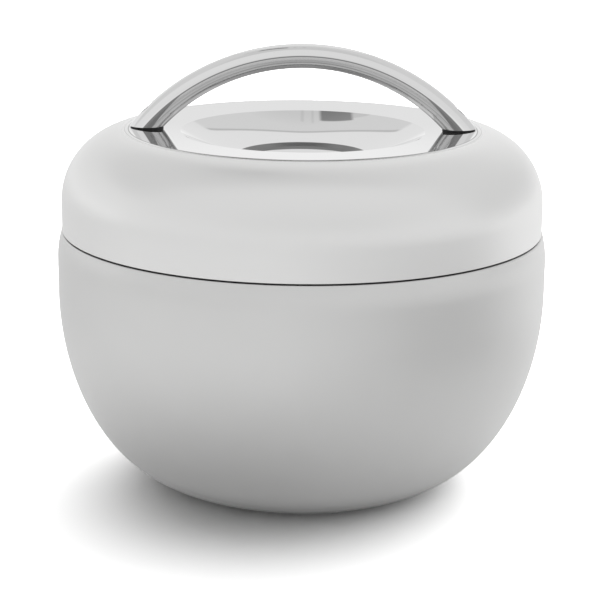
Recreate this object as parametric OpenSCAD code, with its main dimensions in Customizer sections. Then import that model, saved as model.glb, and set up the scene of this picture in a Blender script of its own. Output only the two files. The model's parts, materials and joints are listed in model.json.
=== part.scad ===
// Insulated stainless bowl with a screw-on lid and an arched handle.
// Millimetres, +Z up. The origin is on the resting plane at the bowl's axis,
// and the handle runs along X.

/* [Bowl] */
// Widest diameter of the bowl
body_d = 165; // [150:1:180]
// Height of the widest point above the table
belly_h = 66.9; // [60:0.5:74]
// Horizontal reach of the curved lower wall
belly_reach = 43.6; // [38:0.2:50]
// Height of the upright band above the widest point
belly_band = 10.7; // [8:0.1:14]
// Height over which the shoulder draws in up to the seam
shoulder_rise = 9.5; // [7:0.1:12]
// Radius of the shoulder curve
shoulder_r = 31.9; // [26:0.1:40]
// Thickness of every steel sheet
steel_t = 0.6; // [0.4:0.05:0.8]

/* [Base] */
// Width of the resting ring, from its inner edge to the wall's curve
foot_ring_w = 4.2; // [3:0.1:5]
// Height of the lip turned up inside the resting ring
foot_lip_h = 3.6; // [3.2:0.1:4.2]
// Height at which the wall's curve meets the resting ring's rounding
foot_round = 0.5; // [0.3:0.1:0.8]
// Depth of the base cover above the table
cover_recess = 0.8; // [0.4:0.1:1]
// Diameter of the sealing bead
plug_d = 6; // [4:0.5:8]
// Height of the sealing bead's pocket
plug_pocket_h = 1; // [0.8:0.1:1.4]

/* [Liner] */
// Width of the shelf between the bowl's rim and its neck
shelf_w = 7.05; // [6.6:0.05:8]
// Space between the two steel walls at the neck
vacuum_gap = 2; // [1.6:0.1:2.4]
// Height of the lip above the seam
neck_rise = 10.9; // [10.5:0.1:13]
// Height of the liner's floor above the table
floor_h = 8.4; // [7.6:0.1:10]
// Diameter of the liner's flat floor
floor_d = 60; // [50:1:70]
// Height of the liner's curved lower wall
liner_curve_h = 51.6; // [44:0.2:56]
// Thickness of the reflective foil
foil_t = 0.2; // [0.1:0.05:0.3]
// Diameter of the getter tablet
getter_d = 10; // [8:0.5:14]
// Thickness of the getter tablet
getter_t = 1.6; // [1.2:0.1:2]

/* [Thread] */
// Wall of the plastic collar on the neck
collar_t = 1.5; // [1.2:0.1:1.8]
// Height of the plastic collar
collar_h = 9.6; // [9:0.1:10.2]
// Number of ribs on the collar, and of lugs in the lid
thread_starts = 4; // [3:1:6]
// Height that one full turn of the lid climbs
thread_lead = 24; // [22:0.5:26]
// Width of a rib or a lug along the axis
rib_w = 2; // [1.6:0.1:2.2]
// Radial height of a rib on the collar
rib_h = 1.8; // [1.6:0.1:2]
// Radial height of a lug in the lid
lug_h = 1.6; // [1.4:0.1:1.8]
// Angle that a rib covers
rib_arc = 72; // [60:1:80]
// Angle that a lug covers
lug_arc = 20; // [12:1:24]
// Height of the ribs' lower ends above the seam
rib_start_h = 2; // [1.6:0.1:2.4]
// Axial slack between a lug and the rib above it
thread_slack = 0.3; // [0.2:0.05:0.4]

/* [Lid] */
// Open seam between the lid's skirt and the bowl's rim
seam_gap = 0.5; // [0.4:0.05:0.8]
// How far the lid's side stands inside the bowl's rim
lid_inset = 0.15; // [0:0.05:0.4]
// Height of the lid's upright side above the seam
lid_side_h = 10; // [8:0.1:14]
// Radius of the lid's shoulder
lid_shoulder_r = 23.6; // [22:0.1:26]
// Width of the lid's shoulder, from its side in to the ridge
lid_shoulder_w = 22.6; // [21:0.1:24]
// Fall of the flange from the ridge in to the dish
flange_drop = 0.9; // [0.6:0.05:1.4]
// Width of the flange between the ridge and the dish
flange_w = 17.3; // [15:0.1:19]
// Depth of the dish, from its edge down to the recess's rim
dish_depth = 8.05; // [7:0.05:10]
// Diameter of the recess in the middle of the dish
recess_d = 44; // [38:0.5:50]
// Depth of the recess
recess_h = 1.2; // [0.8:0.1:2]
// Draft of the recess's wall, measured along the radius
recess_draft = 0.8; // [0.5:0.1:1.2]

/* [Lid inside] */
// Thickness of the plastic ring's skirt and ceiling
ring_t = 2; // [1.6:0.1:2.2]
// Length of the spigot that goes into the mouth
spigot_h = 6.6; // [5:0.1:8]
// Wall of the spigot
spigot_t = 1.8; // [1.4:0.1:2]
// Width of the land inside the spigot that holds the steel disc
ring_land = 2.4; // [2:0.1:3]
// Height of the gasket
gasket_h = 2.2; // [1.8:0.1:2.6]
// Overhang of the gasket past each side of the lip
gasket_overhang = 0.9; // [0.7:0.1:1.1]
// Wall that keeps the gasket in its channel
channel_t = 1.2; // [0.9:0.1:1.3]
// Height of the steel disc's underside above the spigot's end
plate_recess = 2.2; // [1.5:0.1:3]

/* [Handle] */
// Height of the handle's top above the ridge of the lid
handle_rise = 28.1; // [24:0.1:30]
// Distance from the ridge in to the handle's foot
foot_margin = 0.2; // [0:0.1:1]
// Length of the handle's foot along the bar
foot_l = 11.8; // [10.8:0.1:13]
// Thickness of the handle at its middle
handle_t = 8.1; // [7:0.1:9]
// Depth of the handle from front to back
handle_w = 11; // [9:0.1:12]
// Thickness of the gasket under each foot, at the ridge
pad_t = 0.3; // [0.25:0.05:0.6]
// How far the gasket stands back from the foot's edge
pad_inset = 0.4; // [0.2:0.05:0.6]

/* [Fasteners] */
// Diameter of the screws
screw_d = 4; // [3.5:0.1:4.5]
// Diameter of the screw head
screw_head_d = 7.5; // [7:0.1:8]
// Height of the screw head
screw_head_h = 2.6; // [2:0.1:3]
// Depth of the screw's end below the handle's upper face
screw_end_depth = 1; // [0.6:0.1:2]
// Size across the flats of the screw's hexagon socket
socket_af = 2.5; // [2:0.5:3]
// Thickness of the backing plate
backing_t = 1.2; // [0.8:0.1:1.6]
// Length of the backing plate
backing_l = 15; // [13:0.5:17]
// Width of the backing plate
backing_w = 11; // [10:0.5:12]
// Outer diameter of the lock washer
washer_d = 7.8; // [7.2:0.1:8.4]
// Thickness of the lock washer
washer_t = 0.9; // [0.7:0.1:1.1]
// Width of the lock washer's slit
washer_slit = 0.8; // [0.5:0.1:1.2]

/* [Fits] */
// Clearance between pieces that are fixed to each other
seat_gap = 0.1; // [0.05:0.05:0.2]
// Clearance between pieces that move past each other
run_gap = 0.3; // [0.25:0.05:0.4]
// Clearance round the insulation in the lid
foam_gap = 0.4; // [0.3:0.1:0.8]

/* [Hidden] */

$fn = 128;

// How far a cut runs past the faces it opens
overrun = 1;
// How far a rib's root sinks into the wall that carries it
root = 0.5;

// Bowl outline
body_r = body_d / 2;
seam_h = belly_h + belly_band + shoulder_rise;
shoulder_z = belly_h + belly_band;
function shoulder_radius_at(z) =
    body_r - shoulder_r + sqrt(pow(shoulder_r, 2) - pow(z - shoulder_z, 2));
rim_r = shoulder_radius_at(seam_h);
shelf_z = seam_h - seam_gap / 2;
// Height and width of the small rounding at the rim
rim_round = steel_t;

// Neck, liner and collar
neck_r = rim_r - shelf_w;
mouth_r = neck_r - vacuum_gap - 2 * steel_t;
lip_z = seam_h + neck_rise;
liner_bend_z = floor_h + liner_curve_h;
floor_r = floor_d / 2;
collar_in = neck_r + seat_gap;
collar_out = collar_in + collar_t;
collar_z = shelf_z + seat_gap;

// Base
foot_edge_r = body_r - belly_reach
    + belly_reach * sqrt(1 - pow(1 - foot_round / belly_h, 2));
foot_r = foot_edge_r - foot_ring_w;
bottom_z = foot_lip_h - steel_t;
cover_r = foot_r - seat_gap;

// Lid outline
lid_r = rim_r - lid_inset;
skirt_z = seam_h + seam_gap / 2;
lid_side_z = seam_h + lid_side_h;
crest_r = lid_r - lid_shoulder_w;
shoulder_centre_r = lid_r - lid_shoulder_r;
crest_z = lid_side_z + sqrt(pow(lid_shoulder_r, 2) - pow(crest_r - shoulder_centre_r, 2));
dish_edge_r = crest_r - flange_w;
dish_edge_z = crest_z - flange_drop;
recess_r = recess_d / 2;
// The dish is part of a sphere through its edge and the recess's rim. This is the height of
// the sphere's centre above that rim.
dish_centre_rise = ((pow(dish_edge_r, 2) - pow(recess_r, 2)) / dish_depth + dish_depth) / 2;
dish_r = sqrt(pow(dish_centre_rise, 2) + pow(recess_r, 2));
dish_centre_z = dish_edge_z - dish_depth + dish_centre_rise;
recess_rim_z = dish_edge_z - dish_depth;
recess_floor_z = recess_rim_z - recess_h;
// Height of the lid's upper face, on the dish or on the flange
function lid_face_z(r) = r < dish_edge_r
    ? dish_centre_z - sqrt(pow(dish_r, 2) - pow(r, 2))
    : dish_edge_z + flange_drop * (r - dish_edge_r) / flange_w;

// Inside of the lid
gasket_z = lip_z + run_gap;
gasket_in = mouth_r - gasket_overhang + run_gap * 2;
gasket_out = neck_r + gasket_overhang + seat_gap * 2;
ceiling_z = gasket_z + gasket_h + seat_gap;
ring_out = lid_r - steel_t - run_gap;
skirt_in = ring_out - ring_t;
ring_top = ceiling_z + ring_t;
// Radius of the ring's upper edge, which follows the inside of the lid's shoulder
ring_shoulder_r = lid_shoulder_r - steel_t - run_gap;
spigot_out = gasket_in - run_gap;
spigot_in = spigot_out - spigot_t;
spigot_z = ceiling_z - spigot_h;
land_in = spigot_in - ring_land;
plate_r = spigot_in - seat_gap * 2;
plate_z = spigot_z + plate_recess;
channel_in = gasket_out + seat_gap * 2;
channel_z = gasket_z + gasket_h / 3;

// Thread: the ribs climb to the right, and each lug lies under a rib when the lid is closed
pitch_angle = 360 / thread_starts;
rib_z = seam_h + rib_start_h;
// Angle from a rib's lower end to the lug under it
lug_lag = rib_arc - lug_arc - 4;
function climb(angle) = thread_lead * angle / 360;
lug_z = rib_z + climb(lug_lag) - thread_slack - rib_w;

// Handle
// Radius of an arc with this half width and this rise
function arc_radius(half_width, rise) = (pow(half_width, 2) + pow(rise, 2)) / (2 * rise);
handle_top = crest_z + handle_rise;
foot_z = crest_z + pad_t;
foot_out_x = crest_r - foot_margin;
foot_in_x = foot_out_x - foot_l;
foot_x = (foot_out_x + foot_in_x) / 2;
handle_outer_r = arc_radius(foot_out_x, handle_top - foot_z);
handle_inner_r = arc_radius(foot_in_x, handle_top - handle_t - foot_z);
outer_centre_z = handle_top - handle_outer_r;
inner_centre_z = handle_top - handle_t - handle_inner_r;
// Half of the arch's angle, carried on past the feet before they are cut flat
handle_sweep = asin(foot_out_x / handle_outer_r) + 6;
handle_rings = 36;
handle_sides = 28;
tap_d = screw_d + 2 * seat_gap / 2;
clear_d = screw_d + 4 * seat_gap;
screw_end_z = outer_centre_z
    + sqrt(pow(handle_outer_r, 2) - pow(foot_x + screw_d / 2, 2)) - screw_end_depth;

// Stack of fasteners under the flange
backing_top = lid_face_z(foot_x - backing_l / 2) - steel_t - 2 * seat_gap;
backing_z = backing_top - backing_t;
washer_z = backing_z - seat_gap - washer_t;
head_z = washer_z - seat_gap - screw_head_h;

bowl_tint = [0.74, 0.74, 0.73];
lid_tint = [0.82, 0.82, 0.82];
inside_tint = [0.66, 0.67, 0.69];
plastic_tint = [0.42, 0.43, 0.45];

// Points on an arc round a centre, from one angle to another
function arc(centre, r, from, to, steps) =
    [for (i = [0 : steps]) let (a = from + (to - from) * i / steps)
        centre + r * [cos(a), sin(a)]];

// Points on the lower quarter of an ellipse, from its bottom to its side
function bowl_curve(centre, reach, drop, steps) =
    [for (i = [0 : steps]) let (a = 90 * i / steps)
        centre + [reach * sin(a), -drop * cos(a)]];

function unit(v) = v / norm(v);
function left_of(v) = [-v[1], v[0]];
function reversed(list) = [for (i = [len(list) - 1 : -1 : 0]) list[i]];

// The path moved to its left by t, with mitred corners
function shifted(path, t) = [for (i = [0 : len(path) - 1]) let (
    last = len(path) - 1,
    before = left_of(unit(i > 0 ? path[i] - path[i - 1] : path[1] - path[0])),
    after = left_of(unit(i < last ? path[i + 1] - path[i] : path[last] - path[last - 1])))
    path[i] + t * (before + after) / (1 + before * after)];

// A sheet of revolution: the path is its visible face, and t is its thickness to the left
module sheet(path, t) {
    rotate_extrude() polygon(concat(path, reversed(shifted(path, t))));
}

// Faces of a closed tube made of rings with the same number of sides
function tube_faces(rings, sides) = concat(
    [[for (k = [sides - 1 : -1 : 0]) k]],
    [for (i = [0 : rings - 2]) for (k = [0 : sides - 1])
        [i * sides + k, i * sides + (k + 1) % sides,
         (i + 1) * sides + (k + 1) % sides, (i + 1) * sides + k]],
    [[for (k = [0 : sides - 1]) (rings - 1) * sides + k]]);

// A helical rib that runs from a wall at radius r outwards, or inwards with side = -1
module helical_rib(r, side, height, angle, steps) {
    taper_share = 0.14;
    bevel = rib_w / 5;
    points = [for (i = [0 : steps]) let (
        share = i / steps,
        ramp = min(1, share / taper_share, (1 - share) / taper_share),
        tip = r + side * height * ramp,
        base = r - side * root,
        z = climb(angle * share),
        section = side > 0
            ? [[base, 0], [tip, bevel], [tip, rib_w - bevel], [base, rib_w]]
            : [[tip, bevel], [base, 0], [base, rib_w], [tip, rib_w - bevel]])
        for (p = section)
            [p[0] * cos(angle * share), p[0] * sin(angle * share), z + p[1]]];
    polyhedron(points, tube_faces(steps + 1, 4));
}

module ring(r_in, r_out, z, h) {
    translate([0, 0, z]) difference() {
        cylinder(r = r_out, h = h);
        translate([0, 0, -overrun]) cylinder(r = r_in, h = h + 2 * overrun);
    }
}

// The outer wall: resting ring, round lower wall, upright band, shoulder, shelf and neck
foot_curve = bowl_curve([body_r - belly_reach, belly_h], belly_reach, belly_h, 26);
lower_curve = [for (p = foot_curve) if (p[1] > foot_round) p];
shoulder_end = asin((shelf_z - rim_round - shoulder_z) / shoulder_r);
outer_path = concat(
    [[foot_r, foot_lip_h], [foot_r, 0], [foot_edge_r - foot_round, 0],
     [foot_edge_r, foot_round]],
    lower_curve,
    arc([body_r - shoulder_r, shoulder_z], shoulder_r, 0, shoulder_end, 5),
    [[shoulder_radius_at(shelf_z - rim_round) - rim_round, shelf_z],
     [neck_r, shelf_z], [neck_r, lip_z - steel_t]]);

module outer_shell() {
    color(bowl_tint) sheet(outer_path, steel_t);
}

// The disc welded inside the resting ring, with a pocket for the sealing bead
module outer_bottom() {
    pocket_r = plug_d / 2 + plug_pocket_h;
    color(inside_tint) difference() {
        sheet([[0, bottom_z + plug_pocket_h], [plug_d / 2 + seat_gap, bottom_z + plug_pocket_h],
               [pocket_r + seat_gap, bottom_z], [cover_r, bottom_z]], steel_t);
        translate([0, 0, bottom_z]) cylinder(d = plug_d / 3, h = plug_pocket_h + 2 * steel_t);
    }
}

// The sealing bead that closes the evacuation hole
module vacuum_plug() {
    bead_h = plug_pocket_h - seat_gap;
    color("dimgray") translate([0, 0, bottom_z]) {
        cylinder(d = plug_d, h = bead_h);
        cylinder(d = plug_d / 3 - seat_gap, h = plug_pocket_h + steel_t / 2);
    }
}

// The shallow pan pressed into the base
module base_cover() {
    pan_rim_z = bottom_z - seat_gap;
    step_r = cover_r * 0.7;
    step_h = steel_t / 2;
    color(inside_tint)
        sheet([[0, cover_recess + step_h], [step_r, cover_recess + step_h],
               [step_r + step_h, cover_recess], [cover_r, cover_recess],
               [cover_r, pan_rim_z]], steel_t);
}

module getter() {
    getter_offset = floor_r * 0.6;
    color("gray") translate([getter_offset, 0, floor_h - steel_t - seat_gap - getter_t])
        cylinder(d = getter_d, h = getter_t);
}

// The food-side wall, followed outwards over the floor and up to the lip
liner_wall = concat(
    bowl_curve([floor_r, liner_bend_z], mouth_r - floor_r, liner_curve_h, 16),
    [[mouth_r, lip_z - steel_t]]);
liner_path = concat([[0, floor_h]], liner_wall,
    [[mouth_r + steel_t, lip_z], [neck_r, lip_z]]);

module inner_liner() {
    color(inside_tint) sheet(liner_path, -steel_t);
}

// Foil wrapped round the liner's side, clear of the neck weld
module reflective_foil() {
    wrap = concat([for (p = liner_wall) if (p[1] < liner_bend_z && p[0] > floor_r) p],
                  [[mouth_r, liner_bend_z], [mouth_r, seam_h]]);
    color("burlywood") sheet(shifted(wrap, -steel_t - seat_gap), -foil_t);
}

module neck_collar() {
    color(plastic_tint) {
        ring(collar_in, collar_out, collar_z, collar_h);
        for (i = [0 : thread_starts - 1]) rotate(i * pitch_angle)
            translate([0, 0, rib_z]) helical_rib(collar_out, 1, rib_h, rib_arc, 18);
    }
}

// A silicone ring whose underside is waisted to press on the lip
module lid_gasket() {
    waist = gasket_h / 4;
    middle = (gasket_in + gasket_out) / 2;
    color("whitesmoke") rotate_extrude() polygon([
        [gasket_in, gasket_z], [gasket_in + waist, gasket_z],
        [middle, gasket_z + waist / 2], [gasket_out - waist, gasket_z],
        [gasket_out, gasket_z], [gasket_out, gasket_z + gasket_h],
        [gasket_in, gasket_z + gasket_h]]);
}

// The lid's outline from the skirt's edge over the shoulder and flange into the recess
crest_angle = acos((crest_r - shoulder_centre_r) / lid_shoulder_r);
dish_from = -acos(dish_edge_r / dish_r);
dish_to = -acos(recess_r / dish_r);
lid_top_path = concat(
    arc([shoulder_centre_r, lid_side_z], lid_shoulder_r, 0, crest_angle, 12),
    arc([0, dish_centre_z], dish_r, dish_from, dish_to, 6),
    [[recess_r - recess_draft, recess_floor_z], [0, recess_floor_z]]);
lid_path = concat([[lid_r, skirt_z]], lid_top_path);

module lid_shell() {
    color(lid_tint) difference() {
        sheet(lid_path, steel_t);
        for (side = [-1, 1]) translate([side * foot_x, 0, backing_top])
            cylinder(d = clear_d, h = handle_rise / 2);
    }
}

// Insulation that fills the lid, with a pocket round each screw head
module lid_foam() {
    foam_top = [for (p = shifted(lid_top_path, steel_t + foam_gap))
        if (p[1] > ring_top + foam_gap || p[0] < crest_r) p];
    foam_step_z = ring_top + seat_gap;
    foam_low_z = plate_z + 2 * steel_t + seat_gap;
    foam_step_r = shoulder_centre_r
        + sqrt(pow(lid_shoulder_r - steel_t - foam_gap, 2) - pow(foam_step_z - lid_side_z, 2));
    pocket_d = backing_l + 4 * foam_gap;
    pocket_z = head_z - foam_gap;
    color("lightyellow") difference() {
        rotate_extrude() polygon(concat(
            [[0, foam_low_z], [land_in - seat_gap, foam_low_z],
             [land_in - seat_gap, foam_step_z], [foam_step_r, foam_step_z]],
            foam_top));
        for (side = [-1, 1]) translate([side * foot_x, 0, pocket_z])
            cylinder(d = pocket_d, h = handle_rise);
    }
}

// The plastic ring: skirt with lugs, ceiling, gasket channel and spigot
module lid_ring() {
    ring_edge = arc([shoulder_centre_r, lid_side_z], ring_shoulder_r, 0,
                    asin((ring_top - lid_side_z) / ring_shoulder_r), 4);
    color(plastic_tint) {
        rotate_extrude() polygon([
            [skirt_in, skirt_z + seam_gap], [ring_out, skirt_z + seam_gap],
            each ring_edge, [land_in, ring_top], [land_in, ceiling_z],
            [spigot_in, ceiling_z], [spigot_in, spigot_z], [spigot_out, spigot_z],
            [spigot_out, ceiling_z], [channel_in, ceiling_z], [channel_in, channel_z],
            [channel_in + channel_t, channel_z], [channel_in + channel_t, ceiling_z],
            [skirt_in, ceiling_z]]);
        for (i = [0 : thread_starts - 1]) rotate(i * pitch_angle + lug_lag)
            translate([0, 0, lug_z]) helical_rib(skirt_in, -1, lug_h, lug_arc, 6);
    }
}

// The food-side disc, a pan whose rim stands up inside the spigot
module lid_plate() {
    step_r = plate_r * 0.82;
    step_h = steel_t;
    color(inside_tint)
        sheet([[0, plate_z + step_h], [step_r, plate_z + step_h],
               [step_r + step_h, plate_z], [plate_r, plate_z],
               [plate_r, ceiling_z - seat_gap]], steel_t);
}

// One oval section of the handle, at an angle from the upright
function handle_section(angle) = let (
    upper = [handle_outer_r * sin(angle), outer_centre_z + handle_outer_r * cos(angle)],
    lower = [handle_inner_r * sin(angle), inner_centre_z + handle_inner_r * cos(angle)],
    middle = (upper + lower) / 2,
    half = (upper - lower) / 2)
    [for (k = [0 : handle_sides - 1]) let (
        turn = 360 * k / handle_sides,
        p = middle + half * cos(turn))
        [p[0], handle_w / 2 * sin(turn), p[1]]];

module handle() {
    reach = 2 * handle_outer_r;
    color(lid_tint) difference() {
        polyhedron(
            [for (i = [0 : handle_rings])
                for (p = handle_section(handle_sweep * (2 * i / handle_rings - 1))) p],
            tube_faces(handle_rings + 1, handle_sides));
        translate([-reach / 2, -handle_w, foot_z - reach]) cube([reach, 2 * handle_w, reach]);
        for (side = [-1, 1]) translate([side * foot_x, 0, foot_z - overrun])
            cylinder(d = tap_d, h = handle_rise);
    }
}

// A pad of the foot's outline, cut below by the flange it lies on
module handle_gasket(side) {
    sides = 32;
    outline = [for (k = [0 : sides - 1]) let (a = 360 * k / sides)
        [(foot_l / 2 - pad_inset) * cos(a), (handle_w / 2 - pad_inset) * sin(a)]];
    color([0.08, 0.08, 0.08]) difference() {
        translate([side * foot_x, 0, crest_z - flange_drop])
            linear_extrude(flange_drop + pad_t - seat_gap / 2) polygon(outline);
        translate([0, 0, seat_gap / 2]) rotate_extrude() polygon([
            [0, dish_edge_z], [dish_edge_r, dish_edge_z], [crest_r, crest_z],
            [lid_r, crest_z], [lid_r, lid_side_z], [0, lid_side_z]]);
        translate([side * foot_x, 0, lid_side_z]) cylinder(d = clear_d, h = handle_top - lid_side_z);
    }
}

module backing_plate(side) {
    straight = backing_l - backing_w;
    color(inside_tint) translate([side * foot_x, 0, backing_z]) difference() {
        linear_extrude(backing_t) {
            square([straight, backing_w], center = true);
            for (end = [-1, 1]) translate([end * straight / 2, 0]) circle(d = backing_w);
        }
        translate([0, 0, -overrun]) cylinder(d = clear_d, h = backing_t + 2 * overrun);
    }
}

module lock_washer(side) {
    color("darkgray") translate([side * foot_x, 0, 0]) difference() {
        ring(clear_d / 2, washer_d / 2, washer_z, washer_t);
        translate([0, -washer_slit / 2, washer_z - overrun])
            cube([washer_d, washer_slit, washer_t + 2 * overrun]);
    }
}

module handle_screw(side) {
    socket_depth = screw_head_h * 0.6;
    color("darkgray") translate([side * foot_x, 0, head_z]) difference() {
        union() {
            cylinder(d = screw_head_d, h = screw_head_h);
            cylinder(d = screw_d, h = screw_end_z - head_z);
        }
        translate([0, 0, -overrun])
            cylinder(d = socket_af / cos(30), h = socket_depth + overrun, $fn = 6);
    }
}

outer_shell();
outer_bottom();
base_cover();
vacuum_plug();
getter();
reflective_foil();
inner_liner();
neck_collar();
lid_gasket();
lid_shell();
lid_foam();
lid_ring();
lid_plate();
handle();
handle_gasket(-1);  // handle_gasket_left
handle_gasket(1);  // handle_gasket_right
backing_plate(-1);  // backing_plate_left
backing_plate(1);  // backing_plate_right
lock_washer(-1);  // lock_washer_left
lock_washer(1);  // lock_washer_right
handle_screw(-1);  // handle_screw_left
handle_screw(1);  // handle_screw_right
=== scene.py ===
# %% [markdown]
# # An insulated steel bowl with an arched handle
#
# The object is a round, double-walled steel bowl. Its lid screws on, is dished on top, and is
# carried by a solid polished arch. Bowls like it are spun on a lathe or drawn over a round die,
# so most pieces here are a profile turned about the axis. What makes it look like steel is the
# light, so the finishes and the studio come after the shapes, with as much care.
#
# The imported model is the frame: each piece made below takes its size and place from it.

import json
import math

import bmesh
import bpy
from mathutils import Matrix, Vector


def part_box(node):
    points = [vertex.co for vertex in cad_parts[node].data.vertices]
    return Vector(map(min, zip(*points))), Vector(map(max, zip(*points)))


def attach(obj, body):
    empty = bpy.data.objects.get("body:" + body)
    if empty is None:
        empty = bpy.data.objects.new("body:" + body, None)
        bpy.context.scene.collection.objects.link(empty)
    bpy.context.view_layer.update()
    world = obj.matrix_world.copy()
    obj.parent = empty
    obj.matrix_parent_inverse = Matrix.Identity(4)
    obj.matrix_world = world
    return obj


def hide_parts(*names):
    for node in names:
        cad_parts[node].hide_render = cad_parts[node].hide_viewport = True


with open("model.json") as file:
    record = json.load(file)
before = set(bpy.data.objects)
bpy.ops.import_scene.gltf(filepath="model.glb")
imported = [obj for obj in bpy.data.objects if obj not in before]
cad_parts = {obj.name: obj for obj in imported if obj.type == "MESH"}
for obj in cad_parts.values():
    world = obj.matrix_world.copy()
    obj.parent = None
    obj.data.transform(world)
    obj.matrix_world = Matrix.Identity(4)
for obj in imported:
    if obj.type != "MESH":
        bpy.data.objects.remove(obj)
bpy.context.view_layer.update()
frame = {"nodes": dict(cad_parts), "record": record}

# %% [markdown]
# ## Sizes
#
# A frame that is loaded can be measured, so the radii and heights that other pieces meet are
# read from its boxes. What a box can't tell, such as the radius of a shoulder, is written once
# as a real size in millimetres.

# %% Sizes read from the frame
mm = 0.001


def low(node, axis):
    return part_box(node)[0]["xyz".index(axis)]


def high(node, axis):
    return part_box(node)[1]["xyz".index(axis)]


body_radius = high("outer_shell", "x")
lid_radius = high("lid_shell", "x")
lip_radius = high("inner_liner", "x")
lip_height = high("inner_liner", "z")
skirt_height = low("lid_shell", "z")
crest_height = high("lid_shell", "z")
handle_top = high("handle", "z")
handle_depth = 2 * high("handle", "y")
foot_height = low("handle", "z")
plate_radius = high("lid_plate", "x")
plate_height = low("lid_plate", "z")
cover_radius = high("base_cover", "x")
cover_height = low("base_cover", "z")
print("bowl", round(2 * body_radius / mm, 1), "mm wide,", round(handle_top / mm, 1), "mm high")

# %% Sizes written out
steel = 0.6 * mm
seam_gap = 0.5 * mm
seat_gap = 0.1 * mm
seam_height = skirt_height - seam_gap / 2

belly_height = 66.9 * mm
belly_reach = 43.6 * mm
belly_band = 10.7 * mm
shoulder_radius = 31.9 * mm
foot_radius = 40 * mm
foot_lip = 3.6 * mm
foot_round = 0.5 * mm

mouth_radius = 70.8 * mm
floor_height = 8.4 * mm
floor_radius = 30 * mm
liner_curve = 51.6 * mm

lid_side_height = seam_height + 10 * mm
lid_shoulder_radius = 23.6 * mm
crest_radius = 58.3 * mm
flange_drop = 0.9 * mm
dish_edge_radius = 41 * mm
dish_depth = 8.05 * mm
recess_radius = 22 * mm
recess_depth = 1.2 * mm
recess_draft = 0.8 * mm

foot_margin = 0.2 * mm
foot_length = 11.8 * mm
handle_thickness = 8.1 * mm
screw_diameter = 4 * mm

# %% [markdown]
# ## Profiles
#
# Sheet metal has two faces that run side by side. So a pressed piece is drawn as one path, the
# face that shows, and the hidden face is that path moved sideways by the sheet's thickness. The
# path is a list of runs. Inside a run the surface is smooth, and where two runs meet there is a
# crease, which is what makes a crisp line in a mirror finish.


# %% Arcs and curves for profiles
def arc(centre, radius, start, end, steps):
    """Points on a circle's arc, with angles in degrees."""
    turns = [math.radians(start + (end - start) * i / steps) for i in range(steps + 1)]
    return [(centre[0] + radius * math.cos(a), centre[1] + radius * math.sin(a)) for a in turns]


def bowl_curve(centre, reach, drop, start, steps):
    """The lower quarter of an ellipse, from an angle near its bottom out to its side."""
    turns = [math.radians(start + (90 - start) * i / steps) for i in range(steps + 1)]
    return [(centre[0] + reach * math.sin(a), centre[1] - drop * math.cos(a)) for a in turns]


def line(start, end, steps):
    """Points on a straight line."""
    return [
        (start[0] + (end[0] - start[0]) * i / steps, start[1] + (end[1] - start[1]) * i / steps)
        for i in range(steps + 1)
    ]


def moved_left(path, distance):
    """The path moved to its left, with mitred corners."""
    points = [Vector(p) for p in path]
    moved = []
    for i, point in enumerate(points):
        before = (points[i] - points[i - 1]) if i else (points[1] - points[0])
        after = (points[i + 1] - points[i]) if i + 1 < len(points) else before
        a = Vector((-before.y, before.x)).normalized()
        b = Vector((-after.y, after.x)).normalized()
        moved.append(tuple(point + distance * (a + b) / (1 + a.dot(b))))
    return moved


# %% [markdown]
# ## Turning a profile into a mesh
#
# Blender's Screw modifier could turn a profile too, but a mesh that is written ring by ring
# lets each crease be marked sharp on the way, and its poles are single points with no pinch.
# 240 steps keep the outline round at any distance from which the bowl is looked at.

# %% The turned sheet
around = 240
on_axis = 1e-6
same_place = 1e-7


def linked(name, mesh):
    """Puts a mesh in the scene as an object."""
    piece = bpy.data.objects.new(name, mesh)
    bpy.context.scene.collection.objects.link(piece)
    return piece


def settle(piece, body, node):
    """Gives a finished piece its body, and takes the plain node out of sight."""
    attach(piece, body)
    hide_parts(node)


def turned(name, outline, creases=()):
    """Turns an outline about the axis. It is closed to a ring unless it starts on the axis."""
    made = bmesh.new()
    rings = []
    for radius, height in outline:
        if radius < on_axis:
            rings.append([made.verts.new((0, 0, height))])
            continue
        turns = [2 * math.pi * k / around for k in range(around)]
        rings.append(
            [made.verts.new((radius * math.cos(a), radius * math.sin(a), height)) for a in turns]
        )
    closed = len(rings[0]) > 1
    for i in range(len(rings) if closed else len(rings) - 1):
        ring, other = rings[i], rings[(i + 1) % len(rings)]
        for k in range(around):
            corners = [ring[k % len(ring)], ring[(k + 1) % len(ring)]]
            corners += [other[(k + 1) % len(other)], other[k % len(other)]]
            corners = list(dict.fromkeys(corners))
            if len(corners) > 2:
                made.faces.new(corners)
    for i in creases:
        ring = rings[i]
        for k in range(len(ring) if len(ring) > 1 else 0):
            edge = made.edges.get((ring[k], ring[(k + 1) % len(ring)]))
            if edge:
                edge.smooth = False
    bmesh.ops.recalc_face_normals(made, faces=made.faces)
    for face in made.faces:
        face.smooth = True
    mesh = bpy.data.meshes.new(name)
    made.to_mesh(mesh)
    made.free()
    print(name, len(mesh.polygons), "faces,", len(outline), "rings")
    return linked(name, mesh)


def turned_sheet(name, runs, thickness):
    """A closed sheet of revolution. A thickness below zero lies to the right of the path."""
    path, creases = [], set()
    for run in runs:
        if path:
            creases.add(len(path) - 1)
            run = run[1:] if math.dist(run[0], path[-1]) < same_place else run
        path += run
    outline = path + moved_left(path, thickness)[::-1]
    last = len(outline) - 1
    creases |= {0, len(path) - 1, len(path), last}
    creases |= {last - i for i in creases if i < len(path)}
    return turned(name, outline, creases)


# %% [markdown]
# ## The bowl's outer wall
#
# The wall starts at a lip inside the resting ring, rolls round the ring, and follows a quarter
# of an ellipse to its widest point. Above an upright band the shoulder draws in to the rim, and
# from there a flat shelf leads to the neck that the lid covers.


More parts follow.
